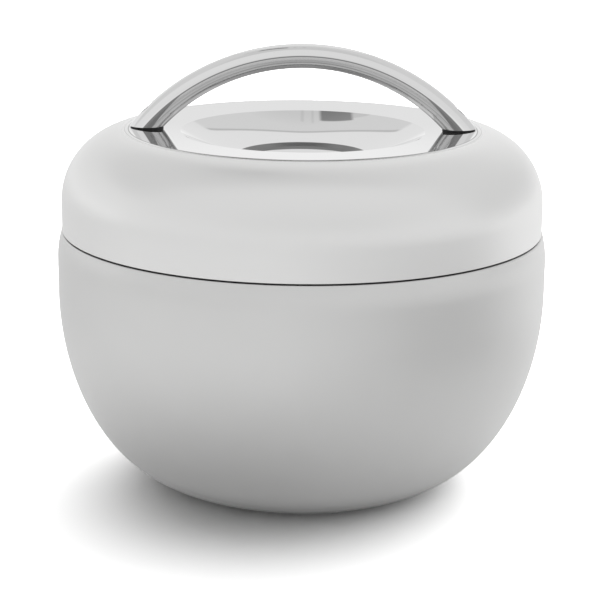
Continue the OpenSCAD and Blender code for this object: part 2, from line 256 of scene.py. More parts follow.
# %% Bowl wall
def shoulder_at(height):
    """Radius of the bowl's shoulder at a height."""
    rise = height - belly_height - belly_band
    return body_radius - shoulder_radius + math.sqrt(shoulder_radius**2 - rise**2)


shelf_height = seam_height - seam_gap / 2
rim_round = steel
rim_height = shelf_height - rim_round
rim_edge = shoulder_at(rim_height)
shoulder_end = math.degrees(math.asin((rim_height - belly_height - belly_band) / shoulder_radius))
curve_start = math.degrees(math.acos(1 - foot_round / belly_height))
belly_centre = (body_radius - belly_reach, belly_height)
foot_edge = belly_centre[0] + belly_reach * math.sin(math.radians(curve_start))

lower_wall = bowl_curve(belly_centre, belly_reach, belly_height, curve_start, 72)
upper_wall = line((body_radius, belly_height), (body_radius, belly_height + belly_band), 6)
shoulder_centre = (body_radius - shoulder_radius, belly_height + belly_band)
shoulder = arc(shoulder_centre, shoulder_radius, 0, shoulder_end, 10)
rim = arc((rim_edge - rim_round, rim_height), rim_round, 0, 90, 6)
bowl_wall = turned_sheet(
    "bowl_wall",
    [
        line((foot_radius, foot_lip), (foot_radius, 0), 2),
        line((foot_radius, 0), (foot_edge - foot_round, 0), 2),
        arc((foot_edge - foot_round, foot_round), foot_round, -90, 0, 4)[:-1]
        + lower_wall + upper_wall[1:] + shoulder[1:] + rim[1:]
        + [(lip_radius, shelf_height)],
        line((lip_radius, shelf_height), (lip_radius, lip_height - steel), 4),
    ],
    steel,
)
settle(bowl_wall, "bowl", "outer_shell")

# %% [markdown]
# ## The food side and the base
#
# The liner is a cup that goes down from the lip in one sweep, and its lip turns outwards over
# the neck, where the two walls are welded together. The base's cover is a shallow pan that shows
# only from below. The disc inside the lid is another, so one function draws both.

# %% Liner
liner_centre = (floor_radius, floor_height + liner_curve)
liner_wall = bowl_curve(liner_centre, mouth_radius - floor_radius, liner_curve, 0, 40)
lip_round = 0.6 * mm
liner = turned_sheet(
    "food_liner",
    [
        line((0, floor_height), (floor_radius, floor_height), 6) + liner_wall[1:]
        + line((mouth_radius, liner_centre[1]), (mouth_radius, lip_height - lip_round), 6)[1:]
        + arc((mouth_radius + lip_round, lip_height - lip_round), lip_round, 180, 90, 6)[1:],
        line((mouth_radius + lip_round, lip_height), (lip_radius, lip_height), 2),
    ],
    -steel,
)
settle(liner, "bowl", "inner_liner")

# %% Shallow pans
pan_corner = 0.8 * mm
cover_step = 0.3 * mm
cover_middle = cover_radius * 0.7
plate_middle = plate_radius * 0.82


def pan(name, radius, bottom, top, middle, step):
    """A pan whose middle is pressed up by a step, with a round corner and an upright edge."""
    corner_centre = (radius - pan_corner, bottom + pan_corner)
    return turned_sheet(
        name,
        [
            line((0, bottom + step), (middle, bottom + step), 8),
            line((middle, bottom + step), (middle + step, bottom), 1),
            line((middle + step, bottom), (corner_centre[0], bottom), 4)
            + arc(corner_centre, pan_corner, -90, 0, 5)[1:] + [(radius, top)],
        ],
        steel,
    )


cover_top = high("base_cover", "z")
base_pan = pan("base_pan", cover_radius, cover_height, cover_top, cover_middle, cover_step)
settle(base_pan, "bowl", "base_cover")

# %% [markdown]
# ## The lid's shell
#
# One sheet again: an upright skirt, a round shoulder, a crisp ridge, a flange that falls very
# slightly inwards, the dish and the recess in its middle. The ridge and the dish's edge are
# creases, since that is where the photographed reflections break.

# %% Lid shell
lid_shoulder_centre = (lid_radius - lid_shoulder_radius, lid_side_height)
crest_angle = math.degrees(math.acos((crest_radius - lid_shoulder_centre[0]) / lid_shoulder_radius))
dish_edge_height = crest_height - flange_drop
recess_rim = dish_edge_height - dish_depth
centre_rise = ((dish_edge_radius**2 - recess_radius**2) / dish_depth + dish_depth) / 2
dish_centre = (0, recess_rim + centre_rise)
dish_sphere = math.hypot(centre_rise, recess_radius)
dish_start = -math.degrees(math.acos(dish_edge_radius / dish_sphere))
dish_end = -math.degrees(math.acos(recess_radius / dish_sphere))
recess_floor = recess_rim - recess_depth
recess_foot = (recess_radius - recess_draft, recess_floor)
lid_skin = turned_sheet(
    "lid_skin",
    [
        line((lid_radius, skirt_height), (lid_radius, lid_side_height), 4)
        + arc(lid_shoulder_centre, lid_shoulder_radius, 0, crest_angle, 48)[1:],
        line((crest_radius, crest_height), (dish_edge_radius, dish_edge_height), 6),
        arc(dish_centre, dish_sphere, dish_start, dish_end, 24),
        line((recess_radius, recess_rim), recess_foot, 2),
        line(recess_foot, (0, recess_floor), 8),
    ],
    steel,
)
settle(lid_skin, "lid", "lid_shell")

# %% Disc inside the lid
plate_top = high("lid_plate", "z")
plate = pan("lid_inner_disc", plate_radius, plate_height, plate_top, plate_middle, steel)
settle(plate, "lid", "lid_plate")

# %% [markdown]
# ## The handle
#
# The handle is one bent bar, oval in section, and a little thicker towards its feet. Its upper
# and lower outlines are arcs about two centres, so each section is an oval set between the two
# arcs at the same angle. The bar is drawn a few degrees too long and cut flat at the feet, and
# each foot has a tapped hole that runs right through.

# %% Handle
sections, sides = 160, 48
spare_angle = math.radians(6)


def arc_radius(half_width, rise):
    """Radius of an arc with this half width and this rise."""
    return (half_width**2 + rise**2) / (2 * rise)


foot_out = crest_radius - foot_margin
foot_in = foot_out - foot_length
foot_x = (foot_out + foot_in) / 2
handle_outer_radius = arc_radius(foot_out, handle_top - foot_height)
handle_inner_radius = arc_radius(foot_in, handle_top - handle_thickness - foot_height)
outer_centre = handle_top - handle_outer_radius
inner_centre = handle_top - handle_thickness - handle_inner_radius
sweep = math.asin(foot_out / handle_outer_radius) + spare_angle


def handle_section(angle):
    """Points round the oval between the handle's two outlines, at an angle from upright."""
    across = Vector((math.sin(angle), 0, math.cos(angle)))
    upper = Vector((0, 0, outer_centre)) + handle_outer_radius * across
    lower = Vector((0, 0, inner_centre)) + handle_inner_radius * across
    middle, half = (upper + lower) / 2, (upper - lower) / 2
    depth = Vector((0, handle_depth / 2, 0))
    turns = [2 * math.pi * k / sides for k in range(sides)]
    return [middle + half * math.cos(t) + depth * math.sin(t) for t in turns]


bar = bmesh.new()
rings = []
for i in range(sections + 1):
    angle = sweep * (2 * i / sections - 1)
    rings.append([bar.verts.new(p) for p in handle_section(angle)])
for ring, other in zip(rings, rings[1:]):
    for k in range(sides):
        bar.faces.new([ring[k], ring[(k + 1) % sides], other[(k + 1) % sides], other[k]])
foot_cut = dict(plane_co=(0, 0, foot_height), plane_no=(0, 0, -1), clear_outer=True)
bmesh.ops.bisect_plane(bar, geom=bar.verts[:] + bar.edges[:] + bar.faces[:], **foot_cut)
for side in (-1, 1):
    rim_edges = [e for e in bar.edges if e.is_boundary and e.verts[0].co.x * side > 0]
    bmesh.ops.edgeloop_fill(bar, edges=rim_edges)
bmesh.ops.recalc_face_normals(bar, faces=bar.faces)
bar_mesh = bpy.data.meshes.new("handle_bar")
bar.to_mesh(bar_mesh)
bar.free()
handle = linked("handle_bar", bar_mesh)


# %% Tapped holes through the feet
hole_sides = 48
drill_overrun = 1 * mm
handle_crease, moulded_crease = 25, 35


def keep_result(piece, modifier):
    """Keeps what a modifier makes as the piece's plain mesh, and removes the modifier."""
    evaluated = piece.evaluated_get(bpy.context.evaluated_depsgraph_get())
    result = bpy.data.meshes.new_from_object(evaluated)
    piece.modifiers.remove(modifier)
    piece.data = result


def drilled(piece, places, diameter, bottom, top):
    """Cuts upright holes through a piece with the Boolean modifier."""
    cutter_mesh = bpy.data.meshes.new("drill")
    cutter = bmesh.new()
    for x, y in places:
        at = Matrix.Translation((x, y, (bottom + top) / 2))
        bmesh.ops.create_cone(
            cutter, cap_ends=True, segments=hole_sides, radius1=diameter / 2,
            radius2=diameter / 2, depth=top - bottom, matrix=at,
        )
    cutter.to_mesh(cutter_mesh)
    cutter.free()
    drill = linked("drill", cutter_mesh)
    cut = piece.modifiers.new("holes", "BOOLEAN")
    cut.object = drill
    cut.solver = "EXACT"
    keep_result(piece, cut)
    bpy.data.objects.remove(drill)


def smooth_by_angle(mesh, limit):
    """Smooth shading with sharp edges wherever two faces meet at more than the limit."""
    made = bmesh.new()
    made.from_mesh(mesh)
    for face in made.faces:
        face.smooth = True
    for edge in made.edges:
        edge.smooth = edge.calc_face_angle(0) < math.radians(limit)
    made.to_mesh(mesh)
    made.free()


tap = screw_diameter + seat_gap
drilled(handle, [(-foot_x, 0), (foot_x, 0)], tap, foot_height - drill_overrun, handle_top)
smooth_by_angle(handle.data, handle_crease)
settle(handle, "lid", "handle")
print("handle feet at", round(foot_x / mm, 1), "mm,", len(handle.data.polygons), "faces")

# %% [markdown]
# ## Shader maths
#
# A finish is mostly sums: a little noise, a mask, a mix. Written with nodes by hand, each sum
# takes several lines, so a small class wraps a socket and adds the Math nodes behind plain
# operators.


# %% A socket that can be added and multiplied
class Num:
    """A number that varies over a surface."""

    def __init__(self, finish, socket):
        self.finish, self.socket = finish, socket

    def math(self, operation, *values, clamp=False):
        settings = dict(operation=operation, use_clamp=clamp)
        sockets = {i: v for i, v in enumerate(values)}
        return self.finish.node("ShaderNodeMath", settings, sockets)

    def __add__(self, other):
        return self.math("ADD", self, other)

    def __sub__(self, other):
        return self.math("SUBTRACT", self, other)

    def __rsub__(self, other):
        return self.math("SUBTRACT", other, self)

    def __mul__(self, other):
        return self.math("MULTIPLY", self, other)

    def __truediv__(self, other):
        return self.math("DIVIDE", self, other)

    __radd__ = __add__
    __rmul__ = __mul__

    def root(self):
        return self.math("SQRT", self)

    def size(self):
        """The number without its sign."""
        return self.math("ABSOLUTE", self)

    def power(self, exponent):
        """The size of the number, raised to a power."""
        return self.math("POWER", self.size(), exponent)

    def largest(self, other):
        return self.math("MAXIMUM", self, other)

    def step(self, low_end, high_end):
        """0 below the low end, 1 above the high end, and a straight ramp between."""
        return self.math("MULTIPLY", self - low_end, 1 / (high_end - low_end), clamp=True)

    def band(self, rise_start, rise_end, fall_start, fall_end):
        """A ramp up from 0 to 1, and further on a ramp down to 0 again."""
        return self.step(rise_start, rise_end) * (1 - self.step(fall_start, fall_end))

    def between(self, low_end, high_end, soft=0.01):
        """1 between two ends and 0 outside, with soft edges."""
        return self.band(low_end - soft, low_end + soft, high_end - soft, high_end + soft)


class Finish:
    """A material whose surface is one Principled shader."""

    def __init__(self, name, colour, metallic=0.0, roughness=0.5):
        self.material = bpy.data.materials.new(name)
        self.material.use_nodes = True
        self.tree = self.material.node_tree
        self.shader = self.tree.nodes["Principled BSDF"]
        self.set("Base Color", (*colour, 1))
        self.set("Metallic", metallic)
        self.set("Roughness", roughness)

    def set(self, name, value):
        """Sets a socket of the shader, or links a number to it."""
        self.plug(self.shader.inputs[name], value)

    def plug(self, socket, value):
        value = getattr(value, "socket", value)
        if isinstance(value, bpy.types.NodeSocket):
            self.tree.links.new(value, socket)
        else:
            socket.default_value = value

    def node(self, kind, settings=None, sockets=None, output=0):
        """Adds any node: its settings first, and then its sockets by name or number."""
        made = self.tree.nodes.new(kind)
        for key, value in (settings or {}).items():
            setattr(made, key, value)
        for key, value in (sockets or {}).items():
            self.plug(made.inputs[key], value)
        return Num(self, made.outputs[output])

    def place(self):
        """Object coordinates."""
        return self.node("ShaderNodeTexCoord", output="Object")

    def xyz(self):
        """The three object coordinates as numbers."""
        split = self.node("ShaderNodeSeparateXYZ", sockets={0: self.place()})
        return [Num(self, socket) for socket in split.socket.node.outputs]

    def axis_distance(self):
        """How far a place is from the upright axis."""
        x, y, z = self.xyz()
        return (x * x + y * y).root()

    def vector(self, x, y, z):
        return self.node("ShaderNodeCombineXYZ", sockets={0: x, 1: y, 2: z})

    def noise(self, scale, detail=2.0, vector=None):
        sockets = {"Vector": vector or self.place(), "Scale": scale, "Detail": detail}
        return self.node("ShaderNodeTexNoise", sockets=sockets, output="Fac")

    def mix(self, share, one, other):
        """A colour between two colours, each written out or made by another mix."""
        colours = [(*c, 1) if isinstance(c, tuple) else c for c in (one, other)]
        sockets = {0: share, 6: colours[0], 7: colours[1]}
        return self.node("ShaderNodeMix", dict(data_type="RGBA"), sockets, output=2)

    def bump(self, height, distance, strength):
        """Bumps the surface by a height from 0 to 1 times the distance."""
        sockets = {"Height": height, "Distance": distance, "Strength": strength}
        self.set("Normal", self.node("ShaderNodeBump", sockets=sockets, output="Normal"))


def grey(level):
    """A colour without hue."""
    return (level, level, level)


# %% [markdown]
# ## Steel
#
# Spun steel is polished on the lathe, so its fine marks run round the axis. In the shader that
# is noise read at radius and height only, stretched along the turn. On the bowl and on the lid's
# side the marks are coarse enough to blur every reflection. The flange, the dish and the upper
# half of the handle are mirrors.
#
# A few places are darker than the mirror beside them: the recess's wall, the ridge, a thin line
# just outside the ridge, and the handle's lower half with the lines along it and its underside
# by the feet. The photograph can't tell a duller polish from a dark reflection there. That
# darkness is painted reflection, written into the steel's colour by place on the piece, so it
# stays where it is in every view. The recess's wall and the handle's lower half are also
# rougher, which is the finish's own.


# %% Turned steel
along_turn = 0.004


def turned_marks(finish, scale):
    """Fine marks that run round the axis: noise that hardly changes along the turn."""
    x, y, z = finish.xyz()
    turn = finish.node("ShaderNodeMath", dict(operation="ARCTAN2"), {0: y, 1: x})
    return finish.noise(scale, 3.0, finish.vector(turn * along_turn, finish.axis_distance(), z))


satin = Finish("satin_steel", (0.70, 0.70, 0.695), metallic=1.0)
marks = turned_marks(satin, 4200)
cloud = satin.noise(22, 2.0)
satin.set("Roughness", 0.30 + marks * 0.05 + cloud * 0.04)
satin.set("Base Color", satin.mix(cloud.step(0.3, 0.7), (0.69, 0.69, 0.685), (0.72, 0.72, 0.715)))
satin.bump(marks, 0.01 * mm, 0.35)

polished = Finish("polished_steel", (0.84, 0.84, 0.835), metallic=1.0)
marks = turned_marks(polished, 5200)
cloud = polished.noise(18, 2.0)
radius = polished.axis_distance()
soft_edge = 0.1 * mm
ridge_half = 0.25 * mm
crest_in, crest_out = crest_radius - soft_edge, crest_radius + soft_edge
side = radius.step(crest_in, crest_out)
wall = radius.band(recess_foot[0] - soft_edge, recess_foot[0], recess_radius,
                   recess_radius + 0.15 * mm)
ridge = radius.band(crest_radius - ridge_half, crest_in, crest_out, crest_radius + ridge_half)
brushed = radius.step(crest_radius + 0.8 * mm, crest_radius + 2.5 * mm)
grain = 0.03 + brushed * (0.24 + marks * 0.03 + cloud * 0.03)
polished.set("Roughness", 0.03 + side * grain + wall * 0.25)
shade = polished.mix(side, grey(0.88), (0.83, 0.83, 0.825))
# Painted reflection: the recess's wall is painted dark grey. Its extra roughness above is the
# finish's own.
shade = polished.mix(wall, shade, grey(0.26))
# Painted reflection: a thin dark line just outside the ridge.
painted_reflection_line = (radius - crest_radius).band(1.15 * mm, 1.25 * mm, 1.35 * mm, 1.5 * mm)
shade = polished.mix(painted_reflection_line * 0.5, shade, grey(0.4))
# Painted reflection: the ridge is painted as a dark line.
polished.set("Base Color", polished.mix(ridge * 0.8, shade, grey(0.2)))

mirror = Finish("mirror_steel", grey(0.84), metallic=1.0)
x, y, z = mirror.xyz()
reach = (x * x + (z - (outer_centre + inner_centre) / 2).power(2)).root()
line_offset = 0.7 * mm
line_at = (handle_outer_radius + handle_inner_radius) / 2 + line_offset
near_foot = 1 - z.step(foot_height + 1 * mm, foot_height + 11 * mm)
under = 1 - reach.step(line_at - 0.12 * mm, line_at + 0.08 * mm)
depth = line_at - reach
# Painted reflection: a dark line along the middle of the bar, widening near the feet.
painted_middle_line = under * (1 - (depth - near_foot * 1.7 * mm).step(0.3 * mm, 0.5 * mm))
# Painted reflection: a thin dark line lower down the bar.
painted_lower_line = depth.band(2.0 * mm, 2.1 * mm, 2.2 * mm, 2.3 * mm)
belly = depth.step(2.7 * mm, 4.1 * mm)
at_top = z.step(handle_top - 15 * mm, handle_top - 8 * mm)
middle = 1 - y.size().step(2.2 * mm, 3.2 * mm)
streaks = mirror.noise(900, 2.0, mirror.vector(0.0, y, reach)).step(0.42, 0.62)
mirror.set("Roughness", 0.04 + under * (0.08 + streaks * 0.12))
# Painted reflection: the handle's lower half is painted darker, and its underside near the top
# darker still. The roughness and streaks are the finish's own.
shade = mirror.mix(under, grey(0.86), grey(0.60))
shade = mirror.mix(belly, shade, mirror.mix(at_top, grey(0.72), grey(0.3)))
shade = mirror.mix(under * streaks * 0.3, shade, grey(0.28))
shade = mirror.mix(painted_lower_line * 0.5, shade, grey(0.25))
shade = mirror.mix(painted_middle_line * 0.75, shade, grey(0.12))
# Painted shade and reflection: the underside by the feet is painted almost black.
mirror.set("Base Color", mirror.mix(under * near_foot * middle, shade, grey(0.1)))
mirror.bump(mirror.noise(35, 1.0), 0.02 * mm, 0.2)

inner = Finish("inner_steel", grey(0.64), metallic=1.0)
marks = turned_marks(inner, 3600)
inner.set("Roughness", 0.24 + marks * 0.1)
inner.bump(marks, 0.012 * mm, 0.4)

fastener = Finish("fastener_steel", (0.6, 0.6, 0.61), metallic=1.0)
fastener.set("Roughness", 0.3 + fastener.noise(900, 2.0) * 0.15)
print("steels made")

# %% [markdown]
# ## Plastic, rubber and the hidden pieces
#
# Moulded plastic has a fine spark-eroded grain, silicone is pale and slightly waxy, and the
# thin pads under the handle are matt black rubber. The pieces inside the walls never show, but
# each still gets its own finish.

# %% Other finishes
plastic = Finish("grey_plastic", (0.16, 0.165, 0.175), roughness=0.5)
grain = plastic.noise(2600, 2.0)
plastic.set("Roughness", 0.42 + grain * 0.16)
plastic.bump(grain, 0.02 * mm, 0.4)

silicone = Finish("silicone", (0.82, 0.82, 0.8), roughness=0.4)
silicone.set("Roughness", 0.34 + silicone.noise(500, 2.0) * 0.14)

rubber = Finish("black_rubber", grey(0.012), roughness=0.6)
rubber.set("Roughness", 0.5 + rubber.noise(1500, 2.0) * 0.2)

foam = Finish("foam", (0.86, 0.83, 0.72), roughness=0.9)
cells = foam.node("ShaderNodeTexVoronoi", None, {"Vector": foam.place(), "Scale": 900})
foam.bump(cells, 0.2 * mm, 0.6)

foil = Finish("foil", (0.86, 0.52, 0.38), metallic=1.0)
crumple = foil.noise(160, 4.0)
foil.set("Roughness", 0.18 + crumple * 0.15)
foil.bump(crumple, 0.15 * mm, 0.8)

getter = Finish("getter_metal", (0.22, 0.22, 0.23), metallic=0.8, roughness=0.7)
getter.bump(getter.noise(1800, 3.0), 0.03 * mm, 0.6)

bead = Finish("sealing_metal", (0.4, 0.38, 0.35), metallic=1.0, roughness=0.45)
bead.bump(bead.noise(700, 2.0), 0.05 * mm, 0.5)

# %% [markdown]
# ## The screw thread
#
# The lid is held by four ribs on the plastic collar and four lugs in the plastic ring. Ribs and
# lugs follow one rule, a helix of the thread's lead, so one Geometry Nodes tree makes both: a
# spiral carries a small rounded section, fades out at its ends, and is repeated round the axis.
# The thread is right-handed, and the spiral node runs clockwise unless it is reversed. With the
# wrong hand the lugs would cut through the ribs, even with the lid closed.


# %% A tree with named inputs
class Rule(Finish):
    """The same node helpers on a Geometry Nodes tree, which has named inputs."""

    def __init__(self, name, inputs):
        self.tree = bpy.data.node_groups.new(name, "GeometryNodeTree")
        face = self.tree.interface
        face.new_socket("Geometry", in_out="INPUT", socket_type="NodeSocketGeometry")
        sockets = {
            label: face.new_socket(label, in_out="INPUT", socket_type="NodeSocket" + kind)
            for label, kind in inputs.items()
        }
        self.identifiers = {label: socket.identifier for label, socket in sockets.items()}
        face.new_socket("Geometry", in_out="OUTPUT", socket_type="NodeSocketGeometry")
        entry = self.tree.nodes.new("NodeGroupInput")
        self.given = {socket.name: Num(self, socket) for socket in entry.outputs}
        self.end = self.tree.nodes.new("NodeGroupOutput")

    def grow(self, piece, values):
        """Runs the tree on a piece and keeps the result as the piece's plain mesh."""
        modifier = piece.modifiers.new(self.tree.name, "NODES")
        modifier.node_group = self.tree
        for label, value in values.items():
            modifier[self.identifiers[label]] = value
        keep_result(piece, modifier)
        smooth_by_angle(piece.data, moulded_crease)


fade_share, thin_end = 0.14, 0.25
rib_rounding = 0.25
measures = ("Side", "Wall Radius", "Rib Height", "Rib Width", "Root", "Arc", "Lead", "Base", "Phase")
thread = Rule(
    "thread_ribs", {"Starts": "Int", **dict.fromkeys(measures, "Float"), "Material": "Material"}
)
given = thread.given
size = given["Rib Height"] + given["Root"]
centre = given["Wall Radius"] + given["Side"] * (given["Rib Height"] - given["Root"]) * 0.5
turn_share = given["Arc"] / 360
spiral = thread.node("GeometryNodeCurveSpiral", None, {
    "Resolution": 180, "Rotations": turn_share, "Start Radius": centre, "End Radius": centre,
    "Height": given["Lead"] * turn_share, "Reverse": True,
})
along = thread.node("GeometryNodeSplineParameter", output="Factor")
fade = along.math("MINIMUM", along, 1 - along).step(0.0, fade_share)
fade = fade * (1 - thin_end) + thin_end
radial = thread.node(
    "ShaderNodeVectorMath", dict(operation="MULTIPLY"),
    {0: thread.node("GeometryNodeInputPosition"), 1: (1, 1, 0)},
)
radial = thread.node("ShaderNodeVectorMath", dict(operation="NORMALIZE"), {0: radial})
inward = given["Side"] * size * 0.5 * (fade - 1)
inward = thread.node(
    "ShaderNodeVectorMath", dict(operation="SCALE"), {0: radial, "Scale": inward}
)
path = thread.node("GeometryNodeSetPosition", None, {"Geometry": spiral, "Offset": inward})
path = thread.node("GeometryNodeSetCurveNormal", dict(mode="Z_UP"), {0: path})
path = thread.node("GeometryNodeSetCurveRadius", None, {"Curve": path, "Radius": fade})
section = thread.node(
    "GeometryNodeCurvePrimitiveQuadrilateral", dict(mode="RECTANGLE"),
    {"Width": size, "Height": given["Rib Width"]},
)
section = thread.node("GeometryNodeFilletCurve", dict(mode="POLY"), {
    "Curve": section, "Count": 4, "Radius": given["Rib Width"] * rib_rounding,
})
rib = thread.node(
    "GeometryNodeCurveToMesh", None,
    {"Curve": path, "Profile Curve": section, "Fill Caps": True, "Scale": fade},
)
rib = thread.node("GeometryNodeTransform", None, {
    "Geometry": rib, "Translation": thread.vector(0.0, 0.0, given["Base"]),
})
index = thread.node("GeometryNodeInputIndex")
angle = (given["Phase"] + index * 360 / given["Starts"]) * (math.pi / 180)
copies = thread.node("GeometryNodeInstanceOnPoints", None, {
    "Points": thread.node("GeometryNodePoints", None, {"Count": given["Starts"]}),
    "Instance": rib, "Rotation": thread.vector(0.0, 0.0, angle),
})
joined = thread.node("GeometryNodeJoinGeometry", None, {0: copies})
thread.plug(joined.socket.node.inputs[0], given["Geometry"])
real = thread.node("GeometryNodeRealizeInstances", None, {0: joined})
thread.plug(thread.end.inputs[0], thread.node(
    "GeometryNodeSetMaterial", None, {"Geometry": real, "Material": given["Material"]}
))

# %% [markdown]
# ## Collar, ring and gasket
#
# These three are moulded, so no corner on them is sharp. Each outline is drawn with plain
# corners, and every corner is then rounded before the outline is turned.


# %% Rounded outlines
edge_share = 0.4
guard_share = 0.2
corner_steps = 4


def softened(outline, radius):
    """The outline with every corner rounded, as a moulded piece has it."""
    rounded = []
    for i, point in enumerate(outline):
        corner = Vector(point)
        before, after = Vector(outline[i - 1]), Vector(outline[(i + 1) % len(outline)])
        shorter = min((before - corner).length, (after - corner).length)
        reach = min(radius, shorter * edge_share)
        start = corner + (before - corner).normalized() * reach
        end = corner + (after - corner).normalized() * reach
        rounded.append(tuple(start + (start - corner) * guard_share))
        for k in range(corner_steps + 1):
            t = k / corner_steps
            rounded.append(tuple(start * (1 - t) ** 2 + corner * 2 * t * (1 - t) + end * t**2))
        rounded.append(tuple(end + (end - corner) * guard_share))
    return rounded


# %% Neck collar with its ribs
run_gap = 0.3 * mm
moulded_round = 0.3 * mm
collar_wall = 1.5 * mm
collar_inside = lip_radius + seat_gap
collar_outside = collar_inside + collar_wall
collar_low, collar_high = low("neck_collar", "z"), high("neck_collar", "z")
starts, lead = 4, 24 * mm
rib_width, rib_height, rib_root, rib_arc = 2 * mm, 1.8 * mm, 0.5 * mm, 72
rib_above_seam = 2 * mm
rib_base = seam_height + rib_above_seam
collar = turned(
    "neck_collar_thread",
    softened([
        (collar_inside, collar_low), (collar_outside, collar_low),
        (collar_outside, collar_high), (collar_inside, collar_high),
    ], moulded_round),
)
thread.grow(collar, {
    "Starts": starts, "Side": 1.0, "Wall Radius": collar_outside, "Rib Height": rib_height,
    "Rib Width": rib_width, "Root": rib_root, "Arc": float(rib_arc), "Lead": lead,
    "Base": rib_base + rib_width / 2, "Phase": 0.0, "Material": plastic.material,
})
settle(collar, "bowl", "neck_collar")
print("collar box", [round(v / mm, 2) for v in (*collar.bound_box[0], *collar.bound_box[6])])

# %% Lid ring with its lugs
gasket_inset = 0.3 * mm
spigot_wall, spigot_length = 1.8 * mm, 6.6 * mm
land_width = 2.4 * mm
channel_wall = 1.2 * mm
lug_height = 1.6 * mm
thread_slack = 0.3 * mm
ring_outside, ring_top = high("lid_ring", "x"), high("lid_ring", "z")
ring_low, ring_wall = low("lid_ring", "z"), 2 * mm
ring_inside, ceiling = ring_outside - ring_wall, ring_top - ring_wall
gasket_low, gasket_high = low("lid_gasket", "z"), high("lid_gasket", "z")
gasket_outside, gasket_inside = high("lid_gasket", "x"), mouth_radius - gasket_inset
spigot_outside = gasket_inside - run_gap
spigot_inside = spigot_outside - spigot_wall
spigot_end = ceiling - spigot_length
land = spigot_inside - land_width
channel_inside = gasket_outside + 2 * seat_gap
channel_outside = channel_inside + channel_wall
channel_end = gasket_low + (gasket_high - gasket_low) / 3
shoulder_inside = lid_shoulder_radius - steel - run_gap
shoulder_reach = math.degrees(math.asin((ring_top - lid_side_height) / shoulder_inside))
ring = turned(
    "lid_ring_thread",
    softened([
        (ring_inside, ring_low), (ring_outside, ring_low),
        *arc(lid_shoulder_centre, shoulder_inside, 0, shoulder_reach, 2),
        (land, ring_top), (land, ceiling), (spigot_inside, ceiling),
        (spigot_inside, spigot_end), (spigot_outside, spigot_end), (spigot_outside, ceiling),
        (channel_inside, ceiling), (channel_inside, channel_end),
        (channel_outside, channel_end), (channel_outside, ceiling), (ring_inside, ceiling),
    ], moulded_round),
)
lug_arc, rib_past_lug = 20, 4
lug_lag = rib_arc - lug_arc - rib_past_lug
lug_base = rib_base + lead * lug_lag / 360 - thread_slack - rib_width
thread.grow(ring, {
    "Starts": starts, "Side": -1.0, "Wall Radius": ring_inside, "Rib Height": lug_height,
    "Rib Width": rib_width, "Root": rib_root, "Arc": float(lug_arc), "Lead": lead,
    "Base": lug_base + rib_width / 2, "Phase": float(lug_lag), "Material": plastic.material,
})
settle(ring, "lid", "lid_ring")
print("ring", len(ring.data.polygons), "faces")

# %% Gasket
gasket_round = 0.35 * mm
waist = (gasket_high - gasket_low) / 4
gasket = turned(
    "lid_gasket_ring",
    softened([
        (gasket_inside, gasket_low), (gasket_inside + waist, gasket_low),
        ((gasket_inside + gasket_outside) / 2, gasket_low + waist / 2),
        (gasket_outside - waist, gasket_low), (gasket_outside, gasket_low),
        (gasket_outside, gasket_high), (gasket_inside, gasket_high),
    ], gasket_round),
)
settle(gasket, "seal", "lid_gasket")

# %% Give every piece and every node its finish
finishes = {
    "satin_steel": satin, "polished_steel": polished, "mirror_steel": mirror,
    "inner_steel": inner, "fastener_steel": fastener, "grey_plastic": plastic,
    "silicone": silicone, "black_rubber": rubber, "foam": foam, "foil": foil,
    "getter_metal": getter, "sealing_metal": bead,
}
made_pieces = {
    bowl_wall: satin, liner: inner, base_pan: satin, lid_skin: polished, plate: inner,
    handle: mirror, collar: plastic, ring: plastic, gasket: silicone,
}
for piece, finish in made_pieces.items():
    piece.data.materials.clear()
    piece.data.materials.append(finish.material)
slots = {s["node"]: s["material_slot"] for s in frame["record"]["subparts"]}
for name, node in frame["nodes"].items():
    for slot in node.material_slots:
        slot.material = finishes[slots[name]].material
print(len(slots), "nodes finished")

# %% [markdown]
# ## The studio
#
# Metal shows nothing but its surroundings, so the world is built from what the dish reflects: a
# bright sweep behind the bowl with a rounded upper edge, a grey roof above it with a darker
# opening, and a pale room in front. Steel of every finish reflects those. Matt surfaces are lit
# by one broad soft light from the back right, which is part of the world too, so there are no
# lamps. The camera sees plain white.


# %% World
world = bpy.data.worlds.new("studio")
bpy.context.scene.world = world
world.use_nodes = True


class Sky(Finish):
    """The same node helpers on the world's tree, with directions as numbers."""

    def __init__(self, tree):
        self.tree = tree
        tree.nodes.clear()
        direction = self.node("ShaderNodeTexCoord", output="Generated")
        split = self.node("ShaderNodeSeparateXYZ", sockets={0: direction})
        self.x, self.y, self.up = [Num(self, s) for s in split.socket.node.outputs]
        self.height = self.up.largest(0.001)

    def lobe(self, direction, sharpness):
        """1 where one looks along the direction, and 0 well away from it."""
        aim = Vector(direction).normalized()
        facing = self.node(
            "ShaderNodeVectorMath", dict(operation="DOT_PRODUCT"),
            {0: self.node("ShaderNodeTexCoord", output="Generated"), 1: tuple(aim)},
            output="Value",
        )
        return self.node(
            "ShaderNodeMath", dict(operation="POWER"),
            {0: facing.math("MAXIMUM", facing, 0.0), 1: sharpness},
        )


